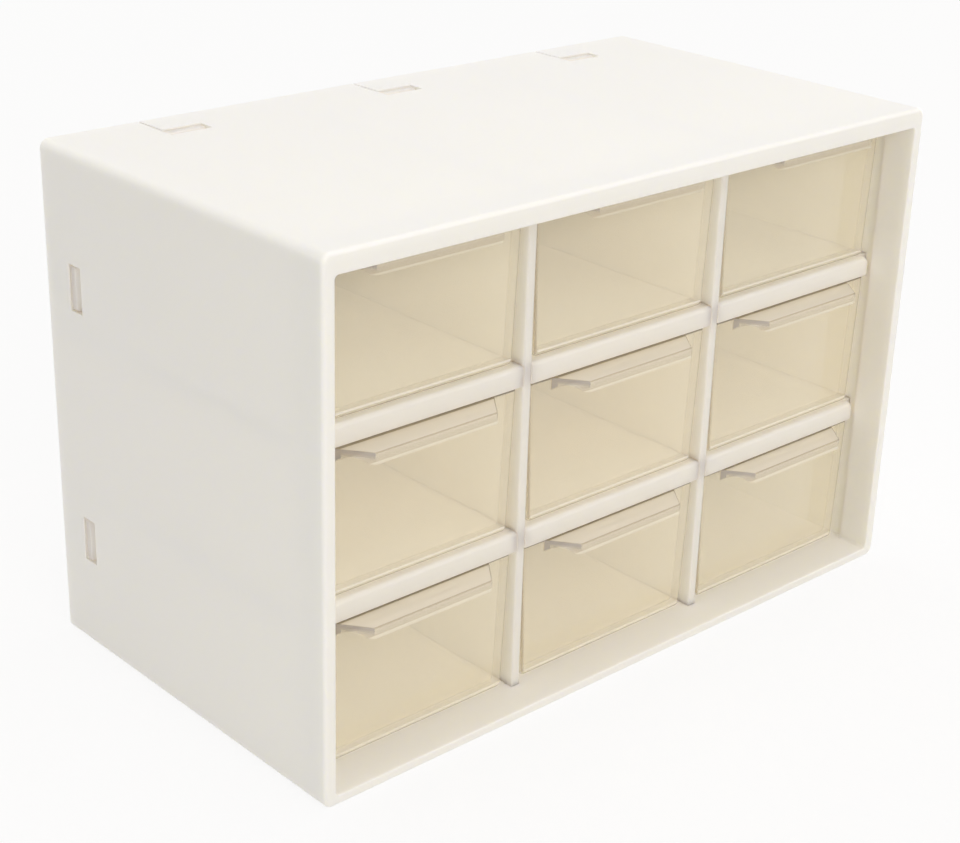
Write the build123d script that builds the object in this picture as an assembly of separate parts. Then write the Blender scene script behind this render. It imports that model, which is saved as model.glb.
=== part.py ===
# Desktop drawer organizer: a moulded case, a slotted grid, a snap-in back and nine clear drawers.
# Millimetres. X is width, Y runs from the front rim to the back, Z is up.
# The origin is on the table, under the middle of the case.
import os
from build123d import *

# Columns from left to right, rows from the table up
column_names = ["left", "centre", "right"]
row_names = ["bottom", "middle", "top"]

# Case
case_width = 185.0
case_depth = 100.0
case_height = 121.5
side_wall = 2.0
top_wall = 2.2
floor_wall = 2.4
case_edge_radius = 2.2
case_front_radius = 0.9
rim_depth = 8.7
rim_side_step = 1.0
rim_top_step = 2.5
rim_corner_radius = 1.0
rim_mouth_radius = 0.4

# Grid of dividers and shelves
divider_thickness = 2.4
divider_edge_radius = 0.5
groove_depth = 0.6
shelf_thickness = 2.0
shelf_bar_height = 4.8
shelf_bar_thickness = 2.2
shelf_bar_radius = 1.0
shelf_bar_corner_radius = 2.0
shelf_bar_end_gap = 0.6
rail_height = 1.5
grid_fit = 0.05

# Back panel, and the case windows that its snap hooks show in
back_thickness = 2.0
back_recess = 0.4
back_fit = 0.2
window_length = 11.0
window_width = 4.8
window_from_back = 11.5
top_window_from_side = 30.5
side_window_from_bottom = 28.0
side_window_from_top = 31.5
relief_slit = 0.6
hook_thickness = 1.05
hook_wall_gap = 0.1
hook_end_gap = 0.45
hook_nose_gap = 0.35
hook_nose_recess = 0.25
foot_tab_length = 11.0
foot_tab_thickness = 1.2
foot_tab_recess = 0.8
foot_tab_fit = 0.15

# Drawers
drawer_side_gap = 0.5
drawer_floor_gap = 0.3
drawer_top_gap = 0.8
drawer_back_gap = 0.3
drawer_setback = 1.3
drawer_wall = 1.4
drawer_floor = 1.5
drawer_draft = 1.5
drawer_bottom_radius = 1.2
drawer_corner_radius = 1.2
drawer_inner_radius = 0.8
drawer_rim_radius = 0.3

# Handle along the top of each drawer's front
handle_reach = 6.9
handle_root_width = 43.5
handle_front_width = 33.0
handle_corner_radius = 1.2
handle_thickness = 1.5
handle_root_height = 2.9
handle_lip_height = 2.6
handle_lip_thickness = 1.1
handle_edge_radius = 0.35

# Planes that the pieces share, from front to back
front_y = -case_depth / 2
back_y = case_depth / 2
grid_front_y = front_y + rim_depth
back_outer_y = back_y - back_recess
back_inner_y = back_outer_y - back_thickness
grid_back_y = back_inner_y - back_fit
grid_middle_y = (grid_front_y + grid_back_y) / 2
drawer_front_y = grid_front_y + drawer_setback
drawer_back_y = back_inner_y - drawer_back_gap
window_y = back_y - window_from_back
cut_margin = 1.0

# Cavity behind the rim, and the mouth through the rim
cavity_half = case_width / 2 - side_wall
ceiling_z = case_height - top_wall
mouth_half = cavity_half - rim_side_step
mouth_top_z = ceiling_z - rim_top_step

# Columns and rows
column_count = len(column_names)
row_count = len(row_names)
column_width = (2 * mouth_half - (column_count - 1) * divider_thickness) / column_count
column_pitch = column_width + divider_thickness
row_height = (mouth_top_z - floor_wall - (row_count - 1) * shelf_bar_height) / row_count
row_pitch = row_height + shelf_bar_height
drawer_width = column_width - 2 * drawer_side_gap
drawer_height = row_height - drawer_floor_gap - drawer_top_gap

# Middles of the windows: across the top, and up each side
top_window_x = case_width / 2 - top_window_from_side
top_window_places = [-top_window_x, 0.0, top_window_x]
side_window_places = [side_window_from_bottom, case_height - side_window_from_top]


def column_x(column):
    """Middle of a column, counted from the left."""
    return (column - (column_count - 1) / 2) * column_pitch


def divider_x(divider):
    """Middle of the divider to the right of a column."""
    return column_x(divider) + column_pitch / 2


def row_floor_z(row):
    """Surface that a row of drawers stands over, counted from the bottom."""
    return floor_wall + row * row_pitch


def span_box(x0, x1, y0, y1, z0, z1):
    """Box between two opposite corners, given in any order along X."""
    size = Box(abs(x1 - x0), y1 - y0, z1 - z0)
    return Pos((x0 + x1) / 2, (y0 + y1) / 2, (z0 + z1) / 2) * size


def case_block():
    """Outer block with its long edges and front face rounded."""
    block = span_box(-case_width / 2, case_width / 2, front_y, back_y, 0, case_height)
    block = fillet(block.edges().filter_by(Axis.Y), case_edge_radius)
    front_edges = block.faces().sort_by(Axis.Y)[0].edges()
    return fillet(front_edges, case_front_radius)


def case_cavity():
    """Space behind the rim, open at the back."""
    return span_box(-cavity_half, cavity_half, grid_front_y, back_y + cut_margin, floor_wall, ceiling_z)


def case_mouth():
    """Way in through the rim, with rounded corners."""
    mouth = span_box(-mouth_half, mouth_half, front_y - cut_margin, grid_front_y + cut_margin,
                     floor_wall, mouth_top_z)
    return fillet(mouth.edges().filter_by(Axis.Y), rim_corner_radius)


def mouth_edges(case):
    """Front edges round the mouth."""
    front = case.faces().sort_by(Axis.Y)[0].edges()
    return [edge for edge in front if abs(edge.center().X) <= mouth_half + grid_fit
            and floor_wall - grid_fit <= edge.center().Z <= mouth_top_z + grid_fit]


def divider_grooves():
    """Grooves in the floor and the ceiling that hold the dividers upright."""
    grooves = []
    half = divider_thickness / 2 + grid_fit
    for divider in range(column_count - 1):
        x = divider_x(divider)
        grooves.append(span_box(x - half, x + half, grid_front_y, back_y + cut_margin,
                                floor_wall - groove_depth, floor_wall + cut_margin))
        grooves.append(span_box(x - half, x + half, grid_front_y, back_y + cut_margin,
                                ceiling_z - cut_margin, ceiling_z + groove_depth))
    return grooves


def shelf_rails():
    """Rails on the side walls under the ends of the shelves."""
    rails = []
    for shelf in range(1, row_count):
        rail_top = row_floor_z(shelf) - shelf_thickness
        for side in (-1, 1):
            rails.append(span_box(side * mouth_half, side * (cavity_half + side_wall / 2),
                                  grid_front_y + shelf_bar_thickness + grid_fit, grid_back_y,
                                  rail_top - rail_height, rail_top))
    return rails


def case_windows():
    """Windows and relief slits in the top, and windows in the sides."""
    cuts = []
    half_length = window_length / 2
    front = window_y - window_width / 2
    back = window_y + window_width / 2
    for x in top_window_places:
        cuts.append(span_box(x - half_length, x + half_length, front, back,
                             ceiling_z - cut_margin, case_height + cut_margin))
        cuts.append(span_box(x - half_length, x - half_length + relief_slit, window_y, back_y + cut_margin,
                             ceiling_z - cut_margin, case_height + cut_margin))
    for z in side_window_places:
        for side in (-1, 1):
            cuts.append(span_box(side * (cavity_half - cut_margin), side * (case_width / 2 + cut_margin),
                                 front, back, z - half_length, z + half_length))
    return cuts


def foot_tab_slots():
    """Slots through the floor for the tabs under the back panel."""
    slots = []
    half = foot_tab_length / 2 + foot_tab_fit
    for x in top_window_places:
        slots.append(span_box(x - half, x + half, back_inner_y - foot_tab_fit,
                              back_inner_y + foot_tab_thickness + foot_tab_fit,
                              -cut_margin, floor_wall + cut_margin))
    return slots


def make_case():
    """Moulded case: floor, sides and top in one piece, with a thicker rim round the front."""
    case = case_block() - case_cavity() - case_mouth()
    case = fillet(mouth_edges(case), rim_mouth_radius)
    case = case + shelf_rails()
    return case - divider_grooves() - case_windows() - foot_tab_slots()


def make_divider(divider):
    """Upright partition, slotted from the back for the shelves."""
    x = divider_x(divider)
    half = divider_thickness / 2
    plate = span_box(x - half, x + half, grid_front_y, grid_back_y,
                     floor_wall - groove_depth, ceiling_z + groove_depth)
    front_edges = plate.faces().sort_by(Axis.Y)[0].edges().filter_by(Axis.Z)
    plate = fillet(front_edges, divider_edge_radius)
    for shelf in range(1, row_count):
        top = row_floor_z(shelf)
        plate -= span_box(x - divider_thickness, x + divider_thickness, grid_middle_y,
                          grid_back_y + cut_margin, top - shelf_thickness - grid_fit, top + grid_fit)
    return plate


def make_shelf(shelf):
    """Shelf with a deeper bar along its front, slotted from the front for the dividers."""
    top = row_floor_z(shelf)
    bar_half = mouth_half - shelf_bar_end_gap
    bar = span_box(-bar_half, bar_half, grid_front_y, grid_front_y + shelf_bar_thickness,
                   top - shelf_bar_height, top)
    corners = bar.edges().filter_by(Axis.Y).sort_by(Axis.Z)[-2:]
    bar = fillet(corners, shelf_bar_corner_radius)
    front_top = bar.faces().sort_by(Axis.Y)[0].edges().filter_by_position(
        Axis.Z, top - shelf_bar_corner_radius, top + cut_margin)
    bar = fillet(front_top, shelf_bar_radius)
    plate_half = cavity_half - grid_fit
    plate = span_box(-plate_half, plate_half, grid_front_y + shelf_bar_thickness, grid_back_y,
                     top - shelf_thickness, top)
    board = plate + bar
    for divider in range(column_count - 1):
        x = divider_x(divider)
        half_slot = divider_thickness / 2 + grid_fit
        board -= span_box(x - half_slot, x + half_slot, grid_front_y - cut_margin, grid_middle_y,
                          top - shelf_bar_height - cut_margin, top + cut_margin)
    return board


def make_hook(wall):
    """Snap hook along X for a wall whose inner face is z = 0: a tongue, and a nose for the window."""
    length = window_length - 2 * hook_end_gap
    nose_front = window_y - window_width / 2 + hook_nose_gap
    nose_back = window_y + window_width / 2 - hook_nose_gap
    nose_middle = (nose_front + nose_back) / 2
    tip_y = nose_front - hook_thickness
    under = -hook_wall_gap - hook_thickness
    over = -hook_wall_gap
    crest = wall - hook_nose_recess
    outline = Polyline([(back_inner_y, under), (tip_y, under), (tip_y, over - hook_thickness / 2),
                        (nose_front, over), (nose_middle, crest), (nose_back, crest),
                        (nose_back, over), (back_inner_y, over)], close=True)
    return Pos(-length / 2, 0, 0) * extrude(make_face(Plane.YZ * outline), length, dir=(1, 0, 0))


def make_back():
    """Back panel with snap hooks along its top and sides and tabs under its foot."""
    half = cavity_half - back_fit
    low = floor_wall + back_fit
    panel = span_box(-half, half, back_inner_y, back_outer_y, low, ceiling_z - back_fit)
    half_tab = foot_tab_length / 2
    for x in top_window_places:
        panel += Pos(x, 0, ceiling_z) * make_hook(top_wall)
        panel += span_box(x - half_tab, x + half_tab, back_inner_y, back_inner_y + foot_tab_thickness,
                          foot_tab_recess, low)
    for z in side_window_places:
        panel += Pos(cavity_half, 0, z) * Rot(0, 90, 0) * make_hook(side_wall)
        panel += Pos(-cavity_half, 0, z) * Rot(0, -90, 0) * make_hook(side_wall)
    return panel


def drawer_block(inset, low_z, high_z, bottom_radius, corner_radius):
    """Block that narrows towards the bottom, with rounded bottom and upright edges."""
    slope = drawer_draft / drawer_height
    low_half = drawer_width / 2 - inset - slope * (drawer_height - low_z)
    high_half = drawer_width / 2 - inset - slope * (drawer_height - high_z)
    front = drawer_front_y + inset
    depth = drawer_back_y - inset - front
    outline = Polyline([(-low_half, low_z), (low_half, low_z), (high_half, high_z), (-high_half, high_z)],
                       close=True)
    block = extrude(make_face(Plane.XZ.offset(-front) * outline), depth, dir=(0, 1, 0))
    upright = [edge for edge in block.edges() if edge.bounding_box().size.Z > (high_z - low_z) / 2]
    block = fillet(upright, corner_radius)
    return fillet(block.faces().sort_by(Axis.Z)[0].edges(), bottom_radius)


def handle_plan():
    """Upright prism with the handle's outline from above, its front corners rounded."""
    root_y = drawer_front_y + drawer_wall / 2
    handle_front_y = drawer_front_y - handle_reach
    root = handle_root_width / 2
    front = handle_front_width / 2
    outline = Polyline([(-root, root_y), (-root, drawer_front_y), (-front, handle_front_y),
                        (front, handle_front_y), (root, drawer_front_y), (root, root_y)], close=True)
    prism = extrude(make_face(outline), drawer_height)
    front_edges = prism.edges().filter_by(Axis.Z).sort_by(Axis.Y)[:2]
    return fillet(front_edges, handle_corner_radius)


def make_handle():
    """Handle with a thicker root and front lip, and a finger groove arched between them."""
    root_y = drawer_front_y + drawer_wall / 2
    front = drawer_front_y - handle_reach
    lip_back = front + handle_lip_thickness
    top = drawer_height
    edges = Polyline([(drawer_front_y, top - handle_root_height), (root_y, top - handle_root_height),
                      (root_y, top), (front, top), (front, top - handle_lip_height),
                      (lip_back, top - handle_lip_height)])
    arch = ThreePointArc((lip_back, top - handle_lip_height),
                         ((lip_back + drawer_front_y) / 2, top - handle_thickness),
                         (drawer_front_y, top - handle_root_height))
    profile = make_face(Plane.YZ * (edges + arch))
    bar = Pos(-handle_root_width / 2, 0, 0) * extrude(profile, handle_root_width, dir=(1, 0, 0))
    handle = bar & handle_plan()
    rim = handle.faces().sort_by(Axis.Z)[-1].edges()
    free_rim = [edge for edge in rim if edge.center().Y < drawer_front_y - handle_edge_radius]
    return fillet(free_rim, handle_edge_radius)


def make_drawer():
    """Clear drawer, open at the top, with its handle moulded on the front."""
    inner_bottom_radius = max(drawer_bottom_radius - drawer_wall, drawer_inner_radius)
    inner_corner_radius = max(drawer_corner_radius - drawer_wall, drawer_inner_radius)
    body = drawer_block(0, 0, drawer_height, drawer_bottom_radius, drawer_corner_radius)
    inside = drawer_block(drawer_wall, drawer_floor, drawer_height + cut_margin,
                          inner_bottom_radius, inner_corner_radius)
    tub = body - inside
    rim = tub.faces().sort_by(Axis.Z)[-1].edges()
    tub = fillet(rim, min(drawer_rim_radius, drawer_wall / 4))
    return tub + make_handle()


def write(shape, name):
    """One file for each piece."""
    export_step(shape, f"parts/{name}.step")
    print(name, "solids", len(shape.solids()), "volume", round(shape.volume, 1))


os.makedirs("parts", exist_ok=True)
write(make_case(), "case")
write(make_back(), "back_panel")
for divider in range(column_count - 1):
    write(make_divider(divider), f"divider_{column_names[divider]}_{column_names[divider + 1]}")
for shelf in range(1, row_count):
    write(make_shelf(shelf), f"shelf_under_{row_names[shelf]}")
drawer = make_drawer()
for row in range(row_count):
    for column in range(column_count):
        place = Pos(column_x(column), 0, row_floor_z(row) + drawer_floor_gap)
        write(place * drawer, f"drawer_{row_names[row]}_{column_names[column]}")
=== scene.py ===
# Nine-drawer desktop organizer: materials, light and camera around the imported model.
# Metres, in the model's own frame: x is width, y runs from the front rim to the back, z is up.
import math

import bpy
from mathutils import Matrix, Vector


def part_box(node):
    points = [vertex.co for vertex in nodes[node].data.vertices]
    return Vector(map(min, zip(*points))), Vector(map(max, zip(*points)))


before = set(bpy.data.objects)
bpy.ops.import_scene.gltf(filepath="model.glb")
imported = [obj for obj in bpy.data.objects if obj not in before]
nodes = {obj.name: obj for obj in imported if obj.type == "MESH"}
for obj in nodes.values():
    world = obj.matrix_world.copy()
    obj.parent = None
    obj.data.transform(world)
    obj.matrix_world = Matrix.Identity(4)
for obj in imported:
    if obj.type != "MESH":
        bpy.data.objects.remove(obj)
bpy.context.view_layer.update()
scene = bpy.context.scene
print("frame loaded,", len(nodes), "pieces")


class Wire:
    # One output of a node, so that shader maths reads as plain expressions
    def __init__(self, shader, socket):
        self.shader = shader
        self.socket = socket

    def __add__(self, other):
        return self.shader.maths("ADD", self, other)

    __radd__ = __add__

    def __sub__(self, other):
        return self.shader.maths("SUBTRACT", self, other)

    def __rsub__(self, other):
        return self.shader.maths("SUBTRACT", other, self)

    def __mul__(self, other):
        return self.shader.maths("MULTIPLY", self, other)

    __rmul__ = __mul__

    def __truediv__(self, other):
        return self.shader.maths("DIVIDE", self, other)


class Shader:
    # A material or the world, emptied, with one way to add any node
    def __init__(self, owner):
        owner.use_nodes = True
        self.owner = owner
        self.tree = owner.node_tree
        self.tree.nodes.clear()

    def add(self, kind, settings=None, sockets=None, out=0):
        node = self.tree.nodes.new(kind)
        for name, value in (settings or {}).items():
            setattr(node, name, value)
        for name, value in (sockets or {}).items():
            socket = node.inputs[name]
            if isinstance(value, Wire):
                self.tree.links.new(value.socket, socket)
            elif socket.type == "RGBA":
                socket.default_value = (*value, 1.0)
            else:
                socket.default_value = value
        return Wire(self, node.outputs[out]) if node.outputs else None

    def maths(self, operation, first, second=0.0, clamp=False):
        return self.add("ShaderNodeMath", {"operation": operation, "use_clamp": clamp},
                        {0: first, 1: second})

    def above(self, value, limit):
        return self.maths("GREATER_THAN", value, limit)

    def below(self, value, limit):
        return self.maths("LESS_THAN", value, limit)

    def most(self, first, *others):
        for other in others:
            first = self.maths("MAXIMUM", first, other)
        return first

    def blend(self, share, first, second):
        # Share 0 gives the first colour and 1 the second
        return self.add("ShaderNodeMix", {"data_type": "RGBA"},
                        {0: share, 6: first, 7: second}, out=2)

    def mixShaders(self, share, first, second):
        return self.add("ShaderNodeMixShader", {}, {0: share, 1: first, 2: second})

    def coordinate(self, kind):
        return self.add("ShaderNodeTexCoord", out=kind)

    def split(self, vector):
        parts = self.add("ShaderNodeSeparateXYZ", {}, {"Vector": vector}).socket.node.outputs
        return [Wire(self, part) for part in parts]

    def stretch(self, place, amounts):
        return self.add("ShaderNodeVectorMath", {"operation": "MULTIPLY"}, {0: place, 1: amounts})

    def noise(self, place, scale, detail):
        return self.add("ShaderNodeTexNoise", {},
                        {"Vector": place, "Scale": scale, "Detail": detail})

    def bump(self, height, distance, strength):
        return self.add("ShaderNodeBump", {},
                        {"Height": height, "Distance": distance, "Strength": strength})

    def ray(self, kind):
        return self.add("ShaderNodeLightPath", out=kind)

    def finish(self, surface):
        isWorld = isinstance(self.owner, bpy.types.World)
        self.add("ShaderNodeOutputWorld" if isWorld else "ShaderNodeOutputMaterial",
                 {}, {"Surface": surface})
        return self.owner


# Moulded white plastic of the case, and the creamier batch of the grid and back panel
white = {
    "casePale": (0.95, 0.93, 0.89),
    "caseWarm": (0.945, 0.92, 0.87),
    "gridPale": (0.985, 0.925, 0.81),
    "gridWarm": (0.98, 0.915, 0.795),
    "cloudScale": 14.0,             # soft colour drift across a wall
    "cloudDetail": 3.0,
    "cloudShare": 0.7,
    "flowScale": 60.0,              # faint flow lines along the depth
    "flowDetail": 2.0,
    "flowStretch": (1.0, 0.12, 1.0),
    "flowShare": 0.3,
    "paleShare": 0.1,               # keeps more of the pale colour than of the warm one
    "grainScale": 1400.0,           # orange peel left by the mould
    "grainDetail": 1.0,
    "grainHeight": 0.00002,
    "grainStrength": 0.35,
    "roughness": 0.34,
    "roughnessSpread": 0.07,
    "ior": 1.49,
    "glow": 1.0,                    # the walls are thin enough to let light through
    "glowColour": (1.0, 1.0, 0.86),
    "caseGlowDepth": 0.0015,
    "gridGlowDepth": 0.007,
}


def makeWhitePlastic(name, batch):
    shader = Shader(bpy.data.materials.new(name))
    place = shader.coordinate("Object")
    cloud = shader.noise(place, white["cloudScale"], white["cloudDetail"])
    flow = shader.noise(shader.stretch(place, white["flowStretch"]),
                        white["flowScale"], white["flowDetail"])
    grain = shader.noise(place, white["grainScale"], white["grainDetail"])
    warmShare = shader.maths("ADD", cloud * white["cloudShare"],
                             flow * white["flowShare"] - white["paleShare"], clamp=True)
    # Both noises lie round a half, so together they lie round 1
    roughness = white["roughness"] + (flow + grain - 1) * white["roughnessSpread"]
    return shader.finish(shader.add("ShaderNodeBsdfPrincipled", {}, {
        "Base Color": shader.blend(warmShare, white[batch + "Pale"], white[batch + "Warm"]),
        "Roughness": roughness,
        "IOR": white["ior"],
        "Normal": shader.bump(grain, white["grainHeight"], white["grainStrength"]),
        "Subsurface Weight": white["glow"],
        "Subsurface Radius": white["glowColour"],
        "Subsurface Scale": white[batch + "GlowDepth"]}))


# Clear plastic of the drawers. Its walls are thin, so what is behind shows straight through them.
clear = {
    "throughTint": (1.0, 0.992, 0.975),
    "lampTint": (1.0, 0.996, 0.98),     # what lamps and bounced light lose at each face
    "mirror": 0.07,                     # reflected share, seen square on
    "mirrorRoughness": 0.05,
    "glancingBlend": 0.5,
    "glancingPower": 5.0,               # how late the reflection grows towards a glancing view
    "haze": 0.235,                      # milkiness of each face
    "hazeSpread": 0.055,                # past 0.29 with the haze, the denoiser leaves lines
    "hazeScale": 26.0,
    "hazeDetail": 3.0,
    "hazeColour": (1.0, 0.935, 0.75),
    "hazeRoughness": 0.35,
    "plateHaze": 0.30,                  # painted light: the handle's top is made paler than the walls
    "plateColour": (0.93, 0.89, 0.80),
    "plateTilt": 0.8,                   # least upward part of the normal on the handle's top
    "paintedLineShadeColour": (0.30, 0.27, 0.21),   # painted shade along the rims and the handle's root, for the dark gap under the bar
    "paintedLineShadeShare": 0.9,
    "rimDepth": 0.00035,
    "rootDepth": 0.0009,
    "paintedEdgeShadeColour": (0.45, 0.38, 0.28),   # painted shade on the rounded edges round the front, and on the handle's lip
    "paintedEdgeShadeShare": 0.62,
    "edgePower": 3.0,
    "paintedGlintColour": (1.0, 0.96, 0.88),   # painted highlight, a pale line above the front's bottom edge
    "paintedGlintShare": 0.6,
    "paintedGlintLow": 0.0011,
    "paintedGlintHigh": 0.0016,
    "paintedEndShadeColour": (0.36, 0.335, 0.33),   # painted shade on the handle's cut ends
    "paintedEndShadeShare": 0.62,
    "endTilt": 0.45,                    # least sideways part of the normal on a cut end
    "endFade": 0.0017,                  # height over which the painted shade on a cut end fades towards the lip
    "endReach": 1.4,                    # the fade ends this many times its height below the top
    "rootEnd": 0.0012,                  # depth of the painted shade at the root of a cut end
    "waveScale": 26.0,                  # slow unevenness of the moulded walls
    "waveDetail": 1.0,
    "waveHeight": 0.0002,
    "waveStrength": 0.3,
}

# Where a drawer's front and handle lie, from the bottom left drawer
drawerLow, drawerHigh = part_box("drawer_bottom_left")
handleReach = 0.0069
drawer = {
    "low": drawerLow.z,
    "height": drawerHigh.z - drawerLow.z,
    "rowPitch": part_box("drawer_middle_left")[0].z - drawerLow.z,
    "frontPlane": drawerLow.y + handleReach,
    "frontSlack": 0.0001,               # keeps the front's own face off the handle
    "edgeZone": 0.0014,                 # depth of the rounded edges behind the front
    "rowSlack": 0.001,                  # a row starts this far below its drawer
}


def heightInDrawer(shader, z):
    # Height above the drawer's own underside, the same for every row
    fromLowest = z - (drawer["low"] - drawer["rowSlack"])
    return shader.maths("MODULO", fromLowest, drawer["rowPitch"]) - drawer["rowSlack"]


def drawerMasks(shader, place):
    # 1 on each part painted with light or shade over the plain walls; a later part covers an
    # earlier one
    y, z = shader.split(place)[1:]
    height = heightInDrawer(shader, z)
    normal = shader.split(shader.coordinate("Normal"))
    sideways, forward, upward = [shader.maths("ABSOLUTE", part) for part in normal]

    onHandle = shader.below(y, drawer["frontPlane"] - drawer["frontSlack"])
    offHandle = 1 - onHandle
    nearFront = shader.below(y, drawer["frontPlane"] + drawer["edgeZone"]) * offHandle

    # Painted light: the upward top of the handle is made paler
    top = shader.above(normal[2], clear["plateTilt"]) * onHandle
    # Painted shade along the top of the rim and at the handle's root, under the bar
    rim = shader.above(height, drawer["height"] - clear["rimDepth"]) * offHandle
    root = shader.above(y, drawer["frontPlane"] - clear["rootDepth"]) * top
    # Painted shade on the cut ends: dark along the plate and at the root, fading towards the lip
    fade = shader.maths("ADD", (height - drawer["height"]) / clear["endFade"], clear["endReach"],
                        clamp=True)
    rootEnd = shader.above(y, drawer["frontPlane"] - clear["rootEnd"])
    paintedEndShade = onHandle * shader.above(sideways, clear["endTilt"]) * shader.most(fade, rootEnd)
    # A rounded edge has two of the normal's parts at once; rounded edges and the handle's lip get
    # painted shade
    rounded = forward * shader.most(sideways, upward)
    paintedEdgeShade = shader.maths("POWER", rounded * 2, clear["edgePower"]) * nearFront
    lip = forward * shader.most(normal[2], 0.0) * onHandle * 2
    # Painted highlight: a pale line just above the front's bottom edge
    paintedGlint = shader.above(height, clear["paintedGlintLow"]) * shader.below(height, clear["paintedGlintHigh"]) \
        * nearFront * forward
    return {"plate": top, "paintedGlint": paintedGlint, "paintedEdgeShade": shader.most(paintedEdgeShade, lip),
            "paintedLineShade": shader.most(rim, root), "paintedEndShade": paintedEndShade}


def makeClearPlastic(name):
    shader = Shader(bpy.data.materials.new(name))
    place = shader.coordinate("Object")
    masks = drawerMasks(shader, place)

    cloud = shader.noise(place, clear["hazeScale"], clear["hazeDetail"])
    haze = clear["haze"] + cloud * clear["hazeSpread"] + masks["plate"] * clear["plateHaze"]
    cover = shader.most(haze, *(masks[part] * clear[part + "Share"]
                                for part in ("paintedEdgeShade", "paintedGlint", "paintedLineShade", "paintedEndShade")))
    # Each mask paints its light or shade colour over the milk
    colour = clear["hazeColour"]
    for part, mask in masks.items():
        colour = shader.blend(mask, colour, clear[part + "Colour"])
    milk = shader.add("ShaderNodeBsdfPrincipled", {}, {
        "Base Color": colour, "Roughness": clear["hazeRoughness"], "Specular IOR Level": 0.0})
    through = shader.add("ShaderNodeBsdfTransparent", {}, {"Color": clear["throughTint"]})

    glancing = shader.add("ShaderNodeLayerWeight", {}, {"Blend": clear["glancingBlend"]},
                          out="Facing")
    mirrorShare = clear["mirror"] \
        + (1 - clear["mirror"]) * shader.maths("POWER", glancing, clear["glancingPower"])
    wave = shader.noise(place, clear["waveScale"], clear["waveDetail"])
    mirror = shader.add("ShaderNodeBsdfGlossy", {}, {
        "Roughness": clear["mirrorRoughness"],
        "Normal": shader.bump(wave, clear["waveHeight"], clear["waveStrength"])})
    seen = shader.mixShaders(mirrorShare, shader.mixShaders(cover, through, milk), mirror)

    # Lamps and bounced light go straight through the thin walls
    straight = shader.most(shader.ray("Is Shadow Ray"), shader.ray("Is Diffuse Ray"))
    passing = shader.add("ShaderNodeBsdfTransparent", {}, {"Color": clear["lampTint"]})
    return shader.finish(shader.mixShaders(straight, seen, passing))


# Each node keeps its CAD shape and takes a finish
finishes = {
    "case": makeWhitePlastic("whiteCase", "case"),
    "grid": makeWhitePlastic("creamGrid", "grid"),
    "drawer": makeClearPlastic("clearDrawer"),
}


def finishFor(node):
    if node.startswith("drawer_"):
        return finishes["drawer"], "clear_plastic"
    if node == "case":
        return finishes["case"], "white_plastic"
    return finishes["grid"], "white_plastic"


for name, piece in nodes.items():
    finish, slotName = finishFor(name)
    piece.data.materials.clear()
    piece.data.materials.append(finish)
print("materials on", len(nodes), "pieces")


# Floor and light
studio = {
    "floorSize": 6.0,
    "floorColour": (0.92, 0.915, 0.905),
    "floorMottle": (0.9, 0.895, 0.885),
    "mottleScale": 3.0,
    "mottleDetail": 2.0,
    "floorWhite": 0.85,         # share of plain white that the camera sees on the floor
    "plainWhite": (1.0, 1.0, 1.0),
    "ambient": (0.482, 0.474, 0.466),
}
lampAim = (0.0, 0.0, 0.06)
lamps = {
    # place, size, watts, colour
    "topLamp": ((0.15, -0.1, 1.1), 0.9, 3.0, (1.0, 0.965, 0.96)),
    "keyLamp": ((-0.30, -1.12, 0.85), 0.9, 6.2, (1.0, 0.94, 0.875)),
    "leftLamp": ((-1.3, -0.2, 0.4), 0.8, 1.2, (1.0, 0.985, 0.975)),
    "rightLamp": ((1.4, 0.1, 0.35), 0.8, 4.0, (1.0, 0.975, 0.94)),
    "backLamp": ((0.1, 1.5, 0.35), 0.9, 5.0, (1.0, 0.985, 0.96)),
}


def seenDirectly(shader):
    # 1 where the camera, or a mirror or clear piece that it looks at, sees the surface
    kinds = ("Is Camera Ray", "Is Glossy Ray", "Is Transmission Ray")
    return shader.most(*(shader.ray(kind) for kind in kinds))


def makeFloor():
    half = studio["floorSize"] / 2
    corners = [(-half, -half, 0), (half, -half, 0), (half, half, 0), (-half, half, 0)]
    mesh = bpy.data.meshes.new("floor")
    mesh.from_pydata(corners, [], [(0, 1, 2, 3)])
    floor = bpy.data.objects.new("floor", mesh)
    scene.collection.objects.link(floor)
    shader = Shader(bpy.data.materials.new("paleFloor"))
    mottle = shader.noise(shader.coordinate("Object"), studio["mottleScale"],
                          studio["mottleDetail"])
    matt = shader.add("ShaderNodeBsdfDiffuse", {}, {
        "Color": shader.blend(mottle, studio["floorColour"], studio["floorMottle"])})
    plain = shader.add("ShaderNodeEmission", {}, {"Color": studio["plainWhite"], "Strength": 1.0})
    share = seenDirectly(shader) * studio["floorWhite"]
    mesh.materials.append(shader.finish(shader.mixShaders(share, matt, plain)))


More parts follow.
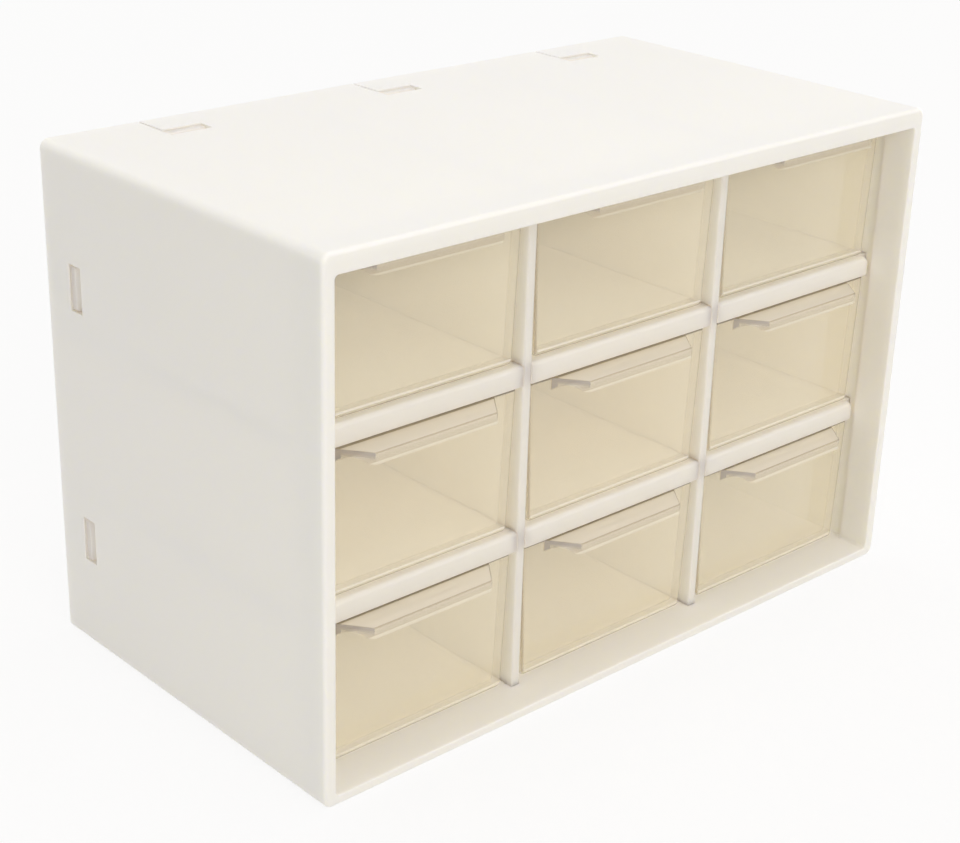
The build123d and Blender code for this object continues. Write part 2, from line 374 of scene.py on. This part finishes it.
def makeWorld():
    world = bpy.data.worlds.new("studio")
    scene.world = world
    shader = Shader(world)
    soft, plain = [
        shader.add("ShaderNodeBackground", {}, {"Color": studio[colour], "Strength": 1.0})
        for colour in ("ambient", "plainWhite")]
    shader.finish(shader.mixShaders(seenDirectly(shader), soft, plain))


def makeLamp(name, place, size, watts, colour):
    light = bpy.data.lights.new(name, "AREA")
    light.shape = "DISK"
    light.size = size
    light.energy = watts
    light.color = colour
    lamp = bpy.data.objects.new(name, light)
    lamp.location = place
    towards = Vector(lampAim) - Vector(place)
    lamp.rotation_euler = towards.to_track_quat("-Z", "Y").to_euler()
    scene.collection.objects.link(lamp)


# Camera, found from the edges of the case
camera = {
    "place": (-0.29862, -0.31544, 0.23389),
    "azimuth": 42.90,           # degrees from the depth direction towards the right
    "elevation": 23.36,         # degrees that it looks down
    "roll": 1.71,
    "lens": 72.19,              # millimetres
    "sensorWidth": 36.0,
    "nearest": 0.01,
    "farthest": 20.0,
}


def makeCamera():
    lens = bpy.data.cameras.new("camera")
    lens.lens = camera["lens"]
    lens.sensor_width = camera["sensorWidth"]
    lens.clip_start = camera["nearest"]
    lens.clip_end = camera["farthest"]
    azimuth, elevation, roll = (math.radians(camera[angle])
                                for angle in ("azimuth", "elevation", "roll"))
    ahead = Vector((math.sin(azimuth) * math.cos(elevation),
                    math.cos(azimuth) * math.cos(elevation),
                    -math.sin(elevation)))
    level = Vector((math.cos(azimuth), -math.sin(azimuth), 0.0))
    right = level * math.cos(roll) + level.cross(ahead) * math.sin(roll)
    turned = Matrix((right, right.cross(ahead), -ahead)).transposed().to_4x4()
    eye = bpy.data.objects.new("camera", lens)
    eye.matrix_world = Matrix.Translation(camera["place"]) @ turned
    scene.collection.objects.link(eye)
    scene.camera = eye


makeFloor()
makeWorld()
for name, settings in lamps.items():
    makeLamp(name, *settings)
makeCamera()
print("studio ready")

# Light crosses many clear walls, and bounces many times in the pale cells behind them
bounces = {
    "max_bounces": 24,
    "transparent_max_bounces": 24,
    "transmission_bounces": 16,
    "diffuse_bounces": 16,
}
for kind, count in bounces.items():
    setattr(scene.cycles, kind, count)
scene.view_settings.view_transform = "Standard"
